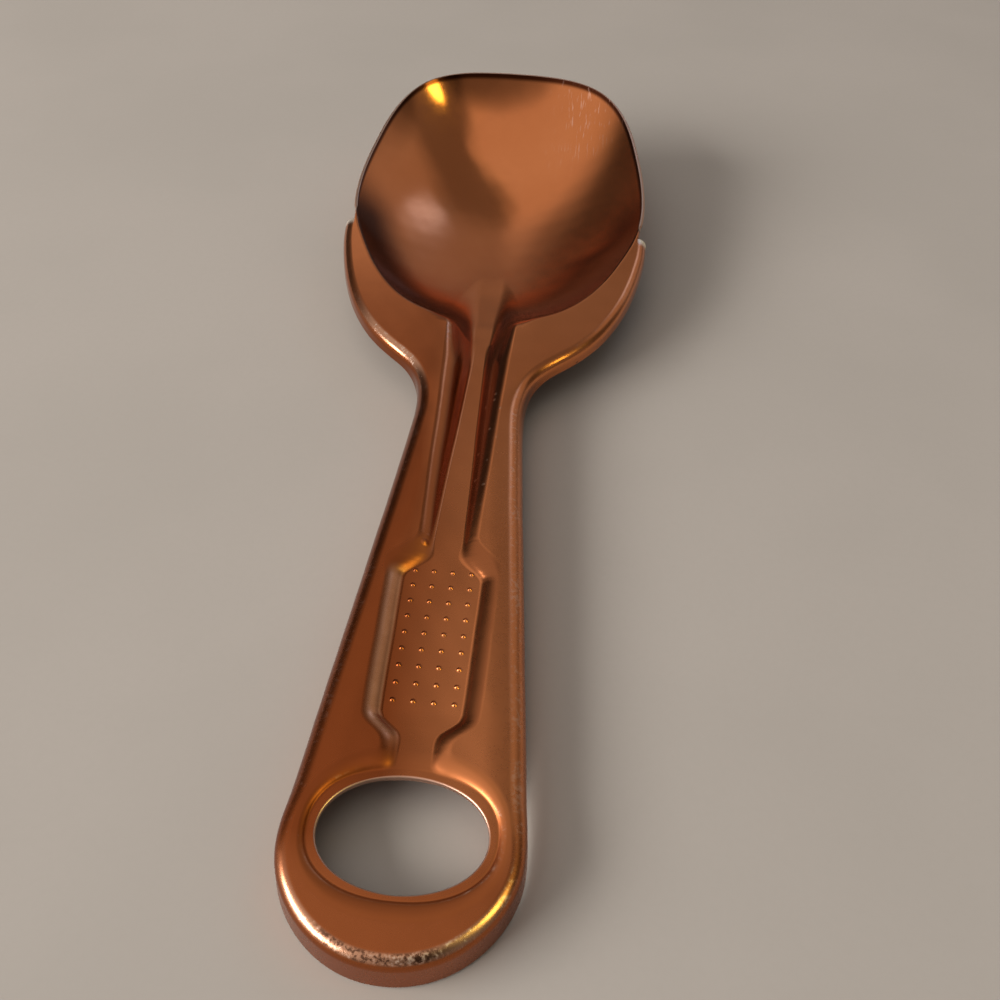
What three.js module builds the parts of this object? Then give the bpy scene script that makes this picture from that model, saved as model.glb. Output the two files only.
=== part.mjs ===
// Ice cream scoop pressed from one sheet of metal. Millimetres, +Z up.
// The sheet is split into zones along the lines where it is bent: bowl, flat
// handle plate with shoulders, turned-down edge skirt, stem channel, sunk panel
// and hole collar. Every zone lies on one height field F(x, y) of the upper
// face, drawn in the frame of the flat handle (y = 0 at the handle end, +Y
// towards the bowl tip, z = 0 on the flat face), and is then tilted so that the
// bowl and the handle end stand on z = 0.
import * as THREE from 'three';
import { mergeVertices } from 'three/addons/utils/BufferGeometryUtils.js';

// ---- driving dimensions (mm) ----
const SHEET = 0.9;            // sheet thickness
const GAP = 0.3;              // clearance between neighbouring zones
const BEND_R = 1.8;           // outer radius of the bend along the outline
const SKIRT_DEPTH = 5.4;      // flat face to the lower edge of the skirt
const SKIRT_SHALLOW = 3.1;    // the same along the shoulders
const SKIRT_DRAFT = 0.06;     // outward slope of the skirt
const CURL_Y = 95;            // from here the face rises towards the bowl tip
const CURL = 0.001;           // rise = CURL * (y - CURL_Y)^2
const BOWL_C = 149;           // y of the point round which the bowl's edge is drawn
const DISH = { z: -8.7, y: 154, rx: 39, back: 150, front: 60, soft: 8 };   // gently curved floor of the bowl
const WALL_P = 6.5;           // how suddenly the bowl's wall turns up near its edge
const HOLE = { y: 15.6, rx: 10.17, ry: 7.37, n: 2.05 };
const LEDGE = { y: 15.76, rx: 11.38, ry: 8.33, n: 2.26 };
const COLLAR = { y: 15.76, rx: 12.35, ry: 10.5, n: 2.26 };
const FOOT_R = 4.2;           // flat spot under the bowl
const CREASE_K = 0.4;         // softness of the bend between face and bowl

// outline of the handle and shoulders at the outside of the bend, right half
const OUTLINE = [
  [0, 0], [3.9, 0.52], [7.62, 2.16], [10.9, 4.92], [13.3, 8.45], [14.55, 12.3],
  [14.75, 15.9], [14.45, 20.8], [13.75, 30], [12.95, 40], [12.15, 50], [11.35, 60],
  [10.55, 70], [9.8, 80], [9.25, 88], [9.08, 93.2], [9.85, 98.4], [12.15, 102.3],
  [15.75, 105.9], [19.7, 110.3], [23.3, 116.2], [26.3, 123.6], [28.35, 131.5],
  [29.45, 138.6], [29.6, 142.5],
];
// edge of the bowl, right half: crease at the back, bare rim from the horns on
const BOWL_EDGE = [
  [0, 114.5], [5.2, 114.85], [10.3, 116.2], [15.6, 119.7], [20.4, 125.7], [24.6, 134.2],
  [27.3, 141.6], [28.55, 148.5], [28.68, 155], [28.1, 162.2], [26.9, 170], [25.1, 178],
  [22.7, 184], [19.2, 188.6], [14.2, 191.5], [7.4, 192.9], [0, 193.2],
];
// half widths of the sunk strip: upper edge, floor, and depth, by y
const UPPER = [
  [20, 4.55], [26.6, 4.55], [27.5, 4.7], [28.3, 5.1], [29.1, 5.9], [29.9, 6.85], [30.7, 7.5], [31.6, 7.75],
  [45, 8.15], [57, 8.45], [57.8, 8.3], [58.6, 7.75], [59.4, 7], [60.2, 6.15], [61, 5.4], [61.8, 4.85],
  [62.8, 4.6], [70, 4.75], [80, 5.15], [95, 5.6], [105, 6], [113, 6.3], [130, 6.9],
];
const FLOOR = [
  [20, 2.39], [27.6, 2.39], [28.5, 2.5], [29.3, 2.85], [30.1, 3.6], [30.9, 4.5], [31.7, 5.15], [32.6, 5.38],
  [45, 5.62], [54.6, 5.8], [55.3, 5.65], [56.1, 5.1], [56.9, 4.3], [57.7, 3.5], [58.5, 2.85], [59.3, 2.5],
  [60.4, 2.38], [61.4, 2.35], [70, 1.75], [80, 1.35], [95, 1], [113, 0.65], [130, 0.6],
];
const DEPTH = [
  [6, 0.7], [22, 0.78], [29, 1.12], [33, 1.2], [56, 1.2], [62, 1.3], [70, 1.96], [80, 2.79],
  [95, 4.04], [104, 4.87], [113, 5.86], [120, 6.74], [126, 7.57], [134, 8.8], [146, 10],
];

// ---- small helpers ----
const clamp01 = (t) => Math.min(1, Math.max(0, t));
const lerp = (a, b, t) => a + (b - a) * t;

// monotone cubic through points sorted by x
function pchip(pts) {
  const n = pts.length, h = [], d = [], m = new Array(n);
  for (let i = 0; i < n - 1; i++) {
    h.push(pts[i + 1][0] - pts[i][0]);
    d.push((pts[i + 1][1] - pts[i][1]) / h[i]);
  }
  m[0] = d[0]; m[n - 1] = d[n - 2];
  for (let i = 1; i < n - 1; i++) {
    if (d[i - 1] * d[i] <= 0) m[i] = 0;
    else {
      const w1 = 2 * h[i] + h[i - 1], w2 = h[i] + 2 * h[i - 1];
      m[i] = (w1 + w2) / (w1 / d[i - 1] + w2 / d[i]);
    }
  }
  return (x) => {
    if (x <= pts[0][0]) return pts[0][1];
    if (x >= pts[n - 1][0]) return pts[n - 1][1];
    let i = 0;
    while (x > pts[i + 1][0]) i++;
    const t = (x - pts[i][0]) / h[i], t2 = t * t, t3 = t2 * t;
    return (2 * t3 - 3 * t2 + 1) * pts[i][1] + (t3 - 2 * t2 + t) * h[i] * m[i]
      + (-2 * t3 + 3 * t2) * pts[i + 1][1] + (t3 - t2) * h[i] * m[i + 1];
  };
}

// cubic spline through points sorted by x, with given end slopes (null = natural)
function spline(pts, s0, s1) {
  const n = pts.length, a = [], b = [], c = [], r = [];
  for (let i = 0; i < n; i++) {
    if (i === 0 || i === n - 1) {
      const s = i === 0 ? s0 : s1;
      if (s === null) { a.push(0); b.push(1); c.push(0); r.push(0); continue; }
      const k = i === 0 ? 0 : n - 2;
      const h = pts[k + 1][0] - pts[k][0], d = (pts[k + 1][1] - pts[k][1]) / h;
      b.push(2 * h);
      if (i === 0) { a.push(0); c.push(h); r.push(6 * (d - s)); }
      else { a.push(h); c.push(0); r.push(6 * (s - d)); }
    } else {
      const h0 = pts[i][0] - pts[i - 1][0], h1 = pts[i + 1][0] - pts[i][0];
      a.push(h0); b.push(2 * (h0 + h1)); c.push(h1);
      r.push(6 * ((pts[i + 1][1] - pts[i][1]) / h1 - (pts[i][1] - pts[i - 1][1]) / h0));
    }
  }
  for (let i = 1; i < n; i++) { const w = a[i] / b[i - 1]; b[i] -= w * c[i - 1]; r[i] -= w * r[i - 1]; }
  const M = new Array(n);
  M[n - 1] = r[n - 1] / b[n - 1];
  for (let i = n - 2; i >= 0; i--) M[i] = (r[i] - c[i] * M[i + 1]) / b[i];
  return (x) => {
    let i = 0;
    while (i < n - 2 && x > pts[i + 1][0]) i++;
    const h = pts[i + 1][0] - pts[i][0], A = (pts[i + 1][0] - x) / h, B = (x - pts[i][0]) / h;
    return A * pts[i][1] + B * pts[i + 1][1] + ((A ** 3 - A) * M[i] + (B ** 3 - B) * M[i + 1]) * h * h / 6;
  };
}

// plane curve through points, by chord length, with horizontal start
function curve(pts) {
  const s = [0];
  for (let i = 1; i < pts.length; i++) s.push(s[i - 1] + Math.hypot(pts[i][0] - pts[i - 1][0], pts[i][1] - pts[i - 1][1]));
  const fx = spline(pts.map((p, i) => [s[i], p[0]]), 1, null), fy = spline(pts.map((p, i) => [s[i], p[1]]), 0, null);
  const at = (t) => [fx(t), fy(t)];
  const normal = (t) => { const p = at(t - 0.05), q = at(t + 0.05), l = Math.hypot(q[0] - p[0], q[1] - p[1]); return [(q[1] - p[1]) / l, -(q[0] - p[0]) / l]; };
  return { at, normal, length: s[s.length - 1], knots: s };
}

// ---- the upper face as a height field ----
const upper = pchip(UPPER), floor = pchip(FLOOR), depth = pchip(DEPTH);
const rise = (y) => CURL * Math.max(0, y - CURL_Y) ** 2;
const edgeR = spline(BOWL_EDGE.map(([x, y]) => [Math.atan2(y - BOWL_C, x), Math.hypot(x, y - BOWL_C)]), 0, 0);
const rounded = (t) => {       // wall section of the sunk strip: soft upper edge, straight wall, tighter foot
  const e = 0.46, f = 0.16, u = clamp01(t), m = 1 / (1 - e / 2 - f / 2);
  if (u < e) return m * u * u / (2 * e);
  if (u > 1 - f) return 1 - m * (1 - u) ** 2 / (2 * f);
  return m * (u - e / 2);
};
const oval = (o, x, y) => (Math.abs(x / o.rx) ** o.n + Math.abs((y - o.y) / o.ry) ** o.n) ** (1 / o.n);
function bowlEdge(x, y) {
  const th = Math.atan2(y - BOWL_C, Math.abs(x));
  return [edgeR(th), th];
}
function dish(x, y) {
  const d = y - DISH.y, u = (d + Math.sqrt(d * d + DISH.soft ** 2)) / 2;
  return DISH.z + d * d / (2 * DISH.back) + (1 / DISH.front - 1 / DISH.back) / 2 * u * u + x * x / (2 * DISH.rx);
}
function bowlZ(x, y) {
  const [R, th] = bowlEdge(x, y), q = Math.hypot(x, y - BOWL_C) / R;
  const xe = R * Math.cos(th), ye = BOWL_C + R * Math.sin(th);
  return dish(x, y) + (rise(ye) - dish(xe, ye)) * Math.min(q, 1.1) ** WALL_P;
}
function recess(x, y) {
  let s = 0;
  const ax = Math.abs(x);
  if (y > 18) {
    const a = upper(y), b = floor(y);
    s = depth(y) * rounded((a - ax) / (a - b));
  }
  if (y < 30) {
    const qo = oval(COLLAR, x, y), qi = oval(LEDGE, x, y);
    const t = qi <= 1 ? 1 : qo >= 1 ? 0 : (1 - qo) / ((1 - qo) + (qi - 1));
    s = Math.max(s, depth(y) * rounded(t));
  }
  return s;
}
function F(x, y) {
  if (y < 100) return rise(y) - recess(x, y);
  const b = bowlZ(x, y);
  if (y > 146) return b;
  const p = rise(y) - recess(x, y);
  const k = CREASE_K * clamp01((146 - y) / 6) + 2.4 * Math.exp(-((x / 8.5) ** 6)) * clamp01((140 - y) / 18) + 0.01;
  const h = Math.max(k - Math.abs(p - b), 0) / k;
  return Math.min(p, b) - h * h * k / 4;
}
// direction through the sheet, taken over a wide base so that it turns slowly
function across(x, y) {
  const e = 2.0;
  return new THREE.Vector3(-(F(x + e, y) - F(x - e, y)) / (2 * e), -(F(x, y + e) - F(x, y - e)) / (2 * e), 1).normalize();
}
function sheetPoint(x, y, side) {
  const p = new THREE.Vector3(x, y, F(x, y));
  return side > 0 ? p : p.addScaledVector(across(x, y), -SHEET);
}

// ---- closed solids from mapped geometry ----
function finish(geo) {
  geo.deleteAttribute('normal'); geo.deleteAttribute('uv');
  const g = mergeVertices(geo, 1e-4), idx = g.index.array, pos = g.attributes.position, keep = [];
  let vol = 0;
  const a = new THREE.Vector3(), b = new THREE.Vector3(), c = new THREE.Vector3();
  for (let i = 0; i < idx.length; i += 3) {
    if (idx[i] === idx[i + 1] || idx[i + 1] === idx[i + 2] || idx[i] === idx[i + 2]) continue;
    keep.push(idx[i], idx[i + 1], idx[i + 2]);
    a.fromBufferAttribute(pos, idx[i]); b.fromBufferAttribute(pos, idx[i + 1]); c.fromBufferAttribute(pos, idx[i + 2]);
    vol += a.dot(b.cross(c));
  }
  if (vol < 0) for (let i = 0; i < keep.length; i += 3) { const t = keep[i]; keep[i] = keep[i + 1]; keep[i + 1] = t; }
  g.setIndex(keep);
  g.computeVertexNormals();
  return g;
}
function mapped(geo, fn) {
  const p = geo.attributes.position, v = new THREE.Vector3();
  for (let i = 0; i < p.count; i++) {
    v.fromBufferAttribute(p, i);
    const q = fn(v);
    p.setXYZ(i, q.x, q.y, q.z);
  }
  return finish(geo);
}
// slab(nu, nv, f): f(i, j, side) for i = 0..nu, j = 0..nv and side 1 (upper) or -1 (under)
function slab(nu, nv, f) {
  return mapped(new THREE.BoxGeometry(nu, nv, 2, nu, nv, 1), (v) => f(Math.round(v.x + nu / 2), Math.round(v.y + nv / 2), v.z > 0 ? 1 : -1));
}

// ---- bowl ----
// angles from the back (-90 degrees) round to the tip, closer together at the channel
const bowlAngles = [];
{
  const half = [];
  for (let i = 0; i <= 4; i++) half.push(-90 + i * 4);
  for (let i = 1; i <= 18; i++) half.push(-74 + i * (164 / 18));
  for (const d of half) bowlAngles.push(d);
  for (let i = half.length - 2; i > 0; i--) bowlAngles.push(180 - half[i]);
}
const BOWL_RINGS = [0, 0.13, 0.34, 0.52, 0.67, 0.8, 0.9, 0.96, 1];
let tanTilt = 0.027;
function footZ(y) { return -SKIRT_DEPTH - tanTilt * y; }
function bowlPoint(th, q, side) {
  const c = Math.cos(th), s = Math.sin(th);
  const R = edgeR(Math.atan2(s, Math.abs(c)));
  const back = Math.atan2(s, Math.abs(c)) < -0.16;
  const r = q * (R - (back ? GAP / 2 : 0));
  const p = sheetPoint(r * c, BOWL_C + r * s, side);
  if (side < 0 && q < 0.14) p.z = footZ(p.y);
  return p;
}
// the tilt that lets the bowl's foot and the handle end stand on one plane
{
  let low = Infinity;
  for (let y = 138; y < 156; y += 0.25) {
    const p = sheetPoint(0, y, -1);
    low = Math.min(low, (p.z + SKIRT_DEPTH + 0.12) / p.y);
  }
  tanTilt = -low;
}
const nA = bowlAngles.length, nR = BOWL_RINGS.length - 1;
const bowlProfile = [];
for (let i = 0; i <= nR; i++) bowlProfile.push(new THREE.Vector2(i, 1));
for (let i = nR; i >= 0; i--) bowlProfile.push(new THREE.Vector2(i, -1));
const bowlGeo = mapped(new THREE.LatheGeometry(bowlProfile, nA), (v) => {
  const i = Math.round(Math.hypot(v.x, v.z));
  let k = Math.round(Math.atan2(v.x, v.z) / (2 * Math.PI) * nA);
  k = ((k % nA) + nA) % nA;
  return bowlPoint(bowlAngles[k] * Math.PI / 180, BOWL_RINGS[i], v.y);
});

// ---- handle plate: a horseshoe from horn tip round the handle end to horn tip ----
const outline = curve(OUTLINE);
function atOutline(t, inset) {
  const p = outline.at(t), n = outline.normal(t);
  return [p[0] - n[0] * inset, p[1] - n[1] * inset];
}
const ovalAt = (o, deg, grow = 0) => {
  const c = Math.cos(deg * Math.PI / 180), s = Math.sin(deg * Math.PI / 180);
  return [(o.rx + grow) * Math.sign(c) * Math.abs(c) ** (2 / o.n), o.y + (o.ry + grow) * Math.sign(s) * Math.abs(s) ** (2 / o.n)];
};
const outlineAtY = (y) => {   // arc length on the side of the handle at this y
  let a = outline.knots[6], b = outline.knots[outline.knots.length - 1];
  for (let i = 0; i < 40; i++) { const m = (a + b) / 2; if (outline.at(m)[1] < y) a = m; else b = m; }
  return (a + b) / 2;
};
// stations: [inner point, arc length on the outline], from the middle of the handle end to the horn
const stations = [];
const sSide = outlineAtY(17);
for (let i = 0; i <= 12; i++) {               // round the collar up to its neck
  const deg = -90 + i * (90 + 66) / 12;
  const p = ovalAt(COLLAR, deg, GAP / 2);
  stations.push([p, deg < 0 ? sSide * (deg + 90) / 90 : outlineAtY(lerp(17, 25.5, deg / 66))]);
}
{
  const ys = [26.8, 28.2, 29.1, 29.9, 30.8, 32.5, 40, 48, 56.5, 58.2, 59.2, 60.2, 61.4, 63, 70, 80, 90, 100, 107];
  for (const y of ys) {
    const a = upper(y), da = (upper(y + 0.1) - upper(y - 0.1)) / 0.2, l = Math.hypot(1, da);
    stations.push([[a + GAP / 2 / l, y - GAP / 2 * da / l], outlineAtY(y < 80 ? y : lerp(80, 98, (y - 80) / 27))]);
  }
}
const horn = outline.length - 1.2;
{
  const yb = [112.4, 114.6, 115.9];
  const xb = [6.55, 7.8, 9.9];
  for (let i = 0; i < 3; i++) stations.push([[xb[i], yb[i] - GAP / 2 - (i ? 0.2 : 0)], outlineAtY(98 + (i + 1) * 1.9)]);
  const s0 = outlineAtY(103.7);
  for (let i = 1; i <= 10; i++) {
    const t = i / 10, th = lerp(-71.5, -9.5, t) * Math.PI / 180;
    const R = edgeR(th) + GAP / 2;
    stations.push([[R * Math.cos(th), BOWL_C + R * Math.sin(th)], lerp(s0, horn, t)]);
  }
}
const halfCount = stations.length - 1;
function plateEnds(i) {
  const k = i - halfCount, m = Math.abs(k), sg = k < 0 ? -1 : 1;
  const [p, s] = stations[m];
  const o = atOutline(s, BEND_R + GAP / 2);
  return [[sg * p[0], p[1]], [sg * o[0], o[1]]];
}
const plateGeo = slab(2 * halfCount, 2, (i, j, side) => {
  const [p, o] = plateEnds(i), t = j / 2;
  return sheetPoint(lerp(p[0], o[0], t), lerp(p[1], o[1], t), side);
});

// ---- edge skirt: quarter bend, then the turned-down edge ----
const skirtStations = [];
{
  const n = 46;
  for (let i = 0; i <= n; i++) skirtStations.push(lerp(0, horn - 0.6, i / n));
}
const nS = skirtStations.length - 1;
const sDeep = outlineAtY(88), sShallow = outlineAtY(104);
const skirtDepth = (s) => { const t = clamp01((s - sDeep) / (sShallow - sDeep)); return lerp(SKIRT_DEPTH, SKIRT_SHALLOW, t * t * (3 - 2 * t)); };
const SKIRT_STEPS = [0, 30, 60, 86.6, -1];    // degrees round the bend, then the lower edge
const skirtGeo = slab(2 * nS, SKIRT_STEPS.length - 1, (i, j, side) => {
  const k = i - nS, m = Math.abs(k), sg = k < 0 ? -1 : 1;
  const s = skirtStations[m], c = atOutline(s, BEND_R), n = outline.normal(s);
  const z0 = rise(c[1]) - BEND_R, r = side > 0 ? BEND_R : BEND_R - SHEET;
  const a = (SKIRT_STEPS[j] < 0 ? 86.6 : SKIRT_STEPS[j]) * Math.PI / 180;
  let d = r * Math.sin(a), z = z0 + r * Math.cos(a);
  if (j === 0) d += GAP / 2;
  if (SKIRT_STEPS[j] < 0) {
    const zEnd = rise(c[1]) - skirtDepth(s);
    d += (z - zEnd) * SKIRT_DRAFT; z = zEnd;
  }
  return new THREE.Vector3(sg * (c[0] + n[0] * d), c[1] + n[1] * d, z);
});

// ---- sunk strip: panel with its neck, and stem channel ----
const ACROSS = [-1, -0.86, -0.7, -0.5, 0, 0.5, 0.7, 0.86, 1];
function stripX(u, y) {        // column positions follow the upper edge and the floor edge
  const a = upper(y) - GAP / 2, b = floor(y), m = Math.abs(u);
  const xs = [0, b * 0.6, b, (a + b) / 2, a];
  const ms = [0, 0.5, 0.7, 0.86, 1];
  let i = 0; while (i < 3 && m > ms[i + 1]) i++;
  return Math.sign(u) * lerp(xs[i], xs[i + 1], (m - ms[i]) / (ms[i + 1] - ms[i]));
}
const SPLIT_Y = 61.6;
const collarTop = (x) => COLLAR.y + (COLLAR.ry + GAP / 2) * (1 - Math.abs(x / (COLLAR.rx + GAP / 2)) ** COLLAR.n) ** (1 / COLLAR.n);
const PANEL_Y = [0, 26.8, 28, 29, 29.8, 30.6, 31.6, 32.8, 40, 48, 56, 57.2, 58.2, 59.0, 59.8, 60.6, SPLIT_Y - GAP / 2];
const panelGeo = slab(ACROSS.length - 1, PANEL_Y.length - 1, (i, j, side) => {
  const u = ACROSS[i];
  let y = PANEL_Y[j], x;
  if (j === 0) { x = stripX(u, 25.6); y = collarTop(x) + GAP / 2; } else x = stripX(u, y);
  return sheetPoint(x, y, side);
});
const CHANNEL_Y = [SPLIT_Y + GAP / 2, 64, 70, 77, 84, 92, 100, 106, 110.5, 0];
const backEdge = (x) => {      // y of the bowl's back edge at this x
  let lo = -Math.PI / 2, hi = -0.9;
  for (let i = 0; i < 40; i++) { const m = (lo + hi) / 2; if (edgeR(m) * Math.cos(m) < Math.abs(x)) lo = m; else hi = m; }
  return BOWL_C + edgeR(lo) * Math.sin(lo);
};
const channelGeo = slab(ACROSS.length - 1, CHANNEL_Y.length - 1, (i, j, side) => {
  const u = ACROSS[i];
  let y = CHANNEL_Y[j], x;
  if (j === CHANNEL_Y.length - 1) { x = stripX(u, 112.4); y = backEdge(x) - GAP / 2 - 0.12; } else x = stripX(u, y);
  return sheetPoint(x, y, side);
});

// ---- collar round the hole ----
const COLLAR_STEPS = [0, 0.5, 1, 1.5, 2];     // hole edge, ledge, wall, upper edge
const nC = 56;
const collarProfile = [];
for (let i = 0; i < 5; i++) collarProfile.push(new THREE.Vector2(i + 1, 1));
for (let i = 4; i >= 0; i--) collarProfile.push(new THREE.Vector2(i + 1, -1));
collarProfile.push(new THREE.Vector2(1, 1));
const collarGeo = mapped(new THREE.LatheGeometry(collarProfile, nC), (v) => {
  const i = Math.round(Math.hypot(v.x, v.z)) - 1;
  const k = ((Math.round(Math.atan2(v.x, v.z) / (2 * Math.PI) * nC) % nC) + nC) % nC;
  const deg = k * 360 / nC, q = COLLAR_STEPS[i];
  const h = ovalAt(HOLE, deg), l = ovalAt(LEDGE, deg), o = ovalAt(COLLAR, deg, -GAP / 2);
  const x = q <= 1 ? lerp(h[0], l[0], q) : lerp(l[0], o[0], q - 1);
  const y = q <= 1 ? lerp(h[1], l[1], q) : lerp(l[1], o[1], q - 1);
  return sheetPoint(x, y, v.y);
});

// ---- assembly ----
const finishOf = (rough) => new THREE.MeshStandardMaterial({ color: 0xa85f35, metalness: 1, roughness: rough });
const tilted = new THREE.Group();
for (const [name, geo, rough] of [
  ['bowl', bowlGeo, 0.24], ['handle_plate', plateGeo, 0.34], ['edge_skirt', skirtGeo, 0.28],
  ['stem_channel', channelGeo, 0.32], ['name_panel', panelGeo, 0.36], ['hole_collar', collarGeo, 0.3],
]) {
  const mesh = new THREE.Mesh(geo, finishOf(rough));
  mesh.name = name;
  tilted.add(mesh);
}
tilted.rotation.x = Math.atan(tanTilt);
const scoop = new THREE.Group();
scoop.add(tilted);
scoop.updateMatrixWorld(true);
const box = new THREE.Box3().setFromObject(scoop, true);
tilted.position.set(-(box.min.x + box.max.x) / 2, -(box.min.y + box.max.y) / 2, -box.min.z);
scoop.updateMatrixWorld(true);

export default scoop;
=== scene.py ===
import math

import bpy
import numpy as np
from mathutils import Matrix, Vector


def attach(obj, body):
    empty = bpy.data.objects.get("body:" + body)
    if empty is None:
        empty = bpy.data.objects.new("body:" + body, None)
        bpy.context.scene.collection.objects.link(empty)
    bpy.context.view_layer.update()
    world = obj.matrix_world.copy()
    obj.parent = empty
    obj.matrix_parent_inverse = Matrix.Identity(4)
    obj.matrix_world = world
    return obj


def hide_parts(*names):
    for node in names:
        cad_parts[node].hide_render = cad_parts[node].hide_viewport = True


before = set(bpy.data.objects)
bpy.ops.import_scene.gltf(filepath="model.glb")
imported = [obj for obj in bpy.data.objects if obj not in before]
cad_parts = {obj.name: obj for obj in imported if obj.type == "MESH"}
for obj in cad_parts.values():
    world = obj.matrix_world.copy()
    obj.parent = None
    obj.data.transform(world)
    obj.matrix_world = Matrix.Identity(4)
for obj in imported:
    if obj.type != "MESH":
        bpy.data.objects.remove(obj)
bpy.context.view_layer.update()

# ---------------------------------------------------------------- sizes (mm)
# drawn in the frame of the flat handle: y = 0 at the handle end, +y to the
# bowl tip, z = 0 on the flat face; tilted into the part frame at the end
SHEET = 0.9
BEND_R, BEND_SIDE = 1.8, 1.0         # bend into the skirt: radius, and how much more along the handle's sides
SKIRT_DEPTH, SKIRT_SHALLOW = 5.4, 3.1
ROLL_W, ROLL_S = 2.6, .10          # the flat face rolls off towards its long sides: width and end slope
SKIRT_DRAFT = 0.06
CURL_Y, CURL = 95.0, 0.001
BOWL_C = 149.0
DISH_Z, DISH_Y, DISH_RX, DISH_BACK, DISH_FRONT, DISH_SOFT = -8.7, 154.0, 39.0, 150.0, 60.0, 8.0
WALL_P = 6.5
CREASE_K = 0.4
SPLIT_Y = 61.6
HOLE = (15.6, 10.17, 7.37, 2.05)
LEDGE = (15.76, 11.38, 8.33, 2.26)
COLLAR = (15.76, 12.35, 10.5, 2.26)
TILT = math.radians(1.5272142015)
SHIFT = np.array([0.0, -96.7767705734, 5.4039249465])
EDGE_R = 0.27                      # rounding of the cut edges

OUTLINE = [
    (0, 0), (3.9, .52), (7.62, 2.16), (10.9, 4.92), (13.3, 8.45), (14.55, 12.3), (14.75, 15.9), (14.45, 20.8),
    (13.75, 30), (12.95, 40), (12.15, 50), (11.35, 60), (10.55, 70), (9.8, 80), (9.25, 88), (9.08, 93.2),
    (9.85, 98.4), (12.15, 102.3), (15.75, 105.9), (19.7, 110.3), (23.3, 116.2), (26.3, 123.6), (28.35, 131.5),
    (29.45, 138.6), (29.6, 142.5)]
BOWL_EDGE = [
    (0, 114.5), (5.2, 114.85), (10.3, 116.2), (15.6, 119.7), (20.4, 125.7), (24.6, 134.2), (27.3, 141.6),
    (28.55, 148.5), (28.68, 155), (28.1, 162.2), (26.9, 170), (25.1, 178), (22.7, 184), (19.2, 188.6),
    (14.2, 191.5), (7.4, 192.9), (0, 193.2)]
UPPER = [
    (20, 4.55), (26.6, 4.55), (27.5, 4.7), (28.3, 5.1), (29.1, 5.9), (29.9, 6.85), (30.7, 7.5), (31.6, 7.75),
    (45, 8.15), (57, 8.45), (57.8, 8.3), (58.6, 7.75), (59.4, 7), (60.2, 6.15), (61, 5.4), (61.8, 4.85),
    (62.8, 4.6), (70, 4.75), (80, 5.15), (95, 5.6), (105, 6), (113, 6.35), (116, 7), (120, 9.5), (126, 12), (130, 13)]
FLOOR = [
    (20, 2.39), (27.6, 2.39), (28.5, 2.5), (29.3, 2.85), (30.1, 3.6), (30.9, 4.5), (31.7, 5.15), (32.6, 5.38),
    (45, 5.62), (54.6, 5.8), (55.3, 5.65), (56.1, 5.1), (56.9, 4.3), (57.7, 3.5), (58.5, 2.85), (59.3, 2.5),
    (60.4, 2.38), (61.4, 2.36), (70, 2.25), (80, 2.1), (88, 1.9), (95, 1.8), (102, 1.7), (109, 1.55), (115, 1.35), (122, 1.25), (130, 1.6)]
DEPTH = [
    (6, 0.44), (20, 0.5), (25, 0.74), (30, 1.12), (33, 1.2), (56, 1.2), (62, 1.3), (70, 1.96), (80, 2.79),
    (95, 4.04), (104, 4.87), (113, 5.86), (120, 6.74), (126, 7.57), (134, 8.8), (146, 10)]

# ---------------------------------------------------------------- curves


def pchip(pts):
    x, y = np.array(pts, float).T
    h = np.diff(x)
    d = np.diff(y) / h
    m = np.zeros(len(x))
    m[0], m[-1] = d[0], d[-1]
    for i in range(1, len(x) - 1):
        if d[i - 1] * d[i] > 0:
            w1, w2 = 2 * h[i] + h[i - 1], h[i] + 2 * h[i - 1]
            m[i] = (w1 + w2) / (w1 / d[i - 1] + w2 / d[i])

    def f(t):
        t = np.clip(np.asarray(t, float), x[0], x[-1])
        i = np.clip(np.searchsorted(x, t, side="right") - 1, 0, len(x) - 2)
        u = (t - x[i]) / h[i]
        u2, u3 = u * u, u * u * u
        return ((2 * u3 - 3 * u2 + 1) * y[i] + (u3 - 2 * u2 + u) * h[i] * m[i]
                + (-2 * u3 + 3 * u2) * y[i + 1] + (u3 - u2) * h[i] * m[i + 1])
    return f


def spline(x, y, s0, s1):
    x, y = np.array(x, float), np.array(y, float)
    n, h = len(x), np.diff(x)
    d = np.diff(y) / h
    A, r = np.zeros((n, n)), np.zeros(n)
    for i in range(1, n - 1):
        A[i, i - 1], A[i, i], A[i, i + 1] = h[i - 1], 2 * (h[i - 1] + h[i]), h[i]
        r[i] = 6 * (d[i] - d[i - 1])
    if s0 is None:
        A[0, 0] = 1
    else:
        A[0, 0], A[0, 1], r[0] = 2 * h[0], h[0], 6 * (d[0] - s0)
    if s1 is None:
        A[-1, -1] = 1
    else:
        A[-1, -1], A[-1, -2], r[-1] = 2 * h[-1], h[-1], 6 * (s1 - d[-1])
    M = np.linalg.solve(A, r)

    def f(t):
        t = np.asarray(t, float)
        i = np.clip(np.searchsorted(x, t) - 1, 0, n - 2)
        a, b = (x[i + 1] - t) / h[i], (t - x[i]) / h[i]
        return a * y[i] + b * y[i + 1] + ((a ** 3 - a) * M[i] + (b ** 3 - b) * M[i + 1]) * h[i] ** 2 / 6
    return f


upper, floor_of, depth = pchip(UPPER), pchip(FLOOR), pchip(DEPTH)
_o = np.array(OUTLINE, float)
_s = np.concatenate([[0], np.cumsum(np.hypot(*np.diff(_o, axis=0).T))])
out_x, out_y = spline(_s, _o[:, 0], 1, None), spline(_s, _o[:, 1], 0, None)
OUT_LEN = _s[-1]
_b = np.array(BOWL_EDGE, float)
edge_r = spline(np.arctan2(_b[:, 1] - BOWL_C, _b[:, 0]), np.hypot(_b[:, 0], _b[:, 1] - BOWL_C), 0, 0)


def out_normal(s):
    tx, ty = out_x(s + .05) - out_x(s - .05), out_y(s + .05) - out_y(s - .05)
    l = np.hypot(tx, ty)
    return ty / l, -tx / l


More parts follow.
